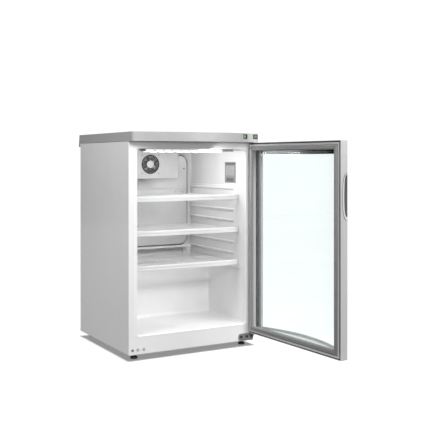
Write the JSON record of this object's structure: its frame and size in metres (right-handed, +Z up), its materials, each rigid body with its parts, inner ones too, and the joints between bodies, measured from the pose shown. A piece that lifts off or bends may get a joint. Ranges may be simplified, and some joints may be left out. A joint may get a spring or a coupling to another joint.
{
  "type": "under counter fridge",
  "caption": "Under counter display fridge: insulated cabinet with worktop, bowed glass door hinged on the right, wire shelves and fan cooling.",
  "frame": {"origin": "bottom centre of the bounding box with the door open as at rest, on the floor under the feet", "axes": "+Z up, +X to the right seen from the front, +Y from the front of the cabinet to its back"},
  "size_m": [0.6202, 1.0704, 0.85],
  "materials": {
    "white_steel": "satin",
    "galvanised_steel": "satin",
    "insulation_foam": "matte",
    "white_liner": "satin",
    "worktop_plastic": "satin",
    "black_plastic": "matte",
    "green_rocker": "gloss",
    "display_glass": "gloss",
    "grey_plastic": "satin",
    "lamp_diffuser": "gloss",
    "white_plastic": "satin",
    "evaporator_aluminium": "satin",
    "label_foil": "satin",
    "coated_wire": "satin",
    "black_steel": "satin",
    "copper": "satin",
    "hinge_steel": "satin",
    "door_silver": "satin",
    "clear_glass": "polished",
    "spacer_aluminium": "satin",
    "gasket_rubber": "matte"
  },
  "bodies": {
    "cabinet": {"outer_shell": "white_steel", "back_panel": "galvanised_steel", "base_plate": "galvanised_steel", "foam_insulation": "insulation_foam", "inner_liner": "white_liner", "worktop": "worktop_plastic", "switch_bezel": "black_plastic", "display_bezel": "black_plastic", "display_window": "display_glass", "lamp_housing": "grey_plastic", "lamp_lens": "lamp_diffuser", "fan_cover": "white_plastic", "fan_guard": "black_plastic", "fan_motor": "black_plastic", "evaporator_plate": "evaporator_aluminium", "drain_gutter": "white_plastic", "drain_tube": "white_plastic", "sensor_clip": "white_plastic", "rating_label": "label_foil", "compressor": "black_steel", "compressor_rail": "galvanised_steel", "relay_box": "black_plastic", "evaporation_tray": "black_plastic", "condenser_coil": "black_steel", "filter_drier": "copper", "suction_line": "copper", "cable_gland": "black_plastic", "rear_foot_left": "black_plastic", "rear_foot_right": "black_plastic", "lower_hinge_bracket": "hinge_steel", "lower_hinge_pin": "hinge_steel", "upper_hinge_bracket": "hinge_steel", "hinge_bolt_1": "black_steel", "hinge_bolt_2": "black_steel", "hinge_bolt_3": "black_steel", "hole_plug_1": "grey_plastic", "hole_plug_2": "grey_plastic", "hole_plug_3": "grey_plastic"},
    "door": {"door_bottom_rail": "door_silver", "door_top_rail": "door_silver", "door_hinge_stile": "door_silver", "door_handle_stile": "door_silver", "door_handle": "grey_plastic", "glass_inner": "clear_glass", "glass_middle": "clear_glass", "glass_outer": "clear_glass", "glass_spacer": "spacer_aluminium", "door_gasket": "gasket_rubber"},
    "shelf_upper": {"shelf_1": "coated_wire", "shelf_trim_1": "white_plastic"},
    "shelf_middle": {"shelf_2": "coated_wire", "shelf_trim_2": "white_plastic"},
    "shelf_lower": {"shelf_3": "coated_wire", "shelf_trim_3": "white_plastic"},
    "light_switch": {"light_switch_rocker": "green_rocker"},
    "fan": {"fan_impeller": "black_plastic"},
    "left_foot": {"front_foot_left": "black_plastic"},
    "right_foot": {"front_foot_right": "black_plastic"}
  },
  "joints": [
    {"name": "door_hinge", "type": "hinge", "parent": "cabinet", "child": "door", "pos_m": [0.22537, -0.00076, 0.43], "axis": [0, 0, 1], "range_deg": [-92.84, 0]},
    {"name": "shelf_upper_slide", "type": "slide", "parent": "cabinet", "child": "shelf_upper", "axis": [0, -1, 0], "range_m": [0, 0.3]},
    {"name": "shelf_middle_slide", "type": "slide", "parent": "cabinet", "child": "shelf_middle", "axis": [0, -1, 0], "range_m": [0, 0.3]},
    {"name": "shelf_lower_slide", "type": "slide", "parent": "cabinet", "child": "shelf_lower", "axis": [0, -1, 0], "range_m": [0, 0.3]},
    {"name": "light_switch_rock", "type": "hinge", "parent": "cabinet", "child": "light_switch", "pos_m": [0.17098, -0.0287, 0.837], "axis": [0, 0, 1], "range_deg": [-10, 0]},
    {"name": "fan_spin", "type": "hinge", "parent": "cabinet", "child": "fan", "pos_m": [-0.03813, 0.41024, 0.726], "axis": [0, 1, 0], "continuous": true},
    {"name": "left_foot_height", "type": "slide", "parent": "cabinet", "child": "left_foot", "axis": [0, 0, -1], "range_m": [0, 0.012]},
    {"name": "right_foot_height", "type": "slide", "parent": "cabinet", "child": "right_foot", "axis": [0, 0, -1], "range_m": [0, 0.012]}
  ]
}
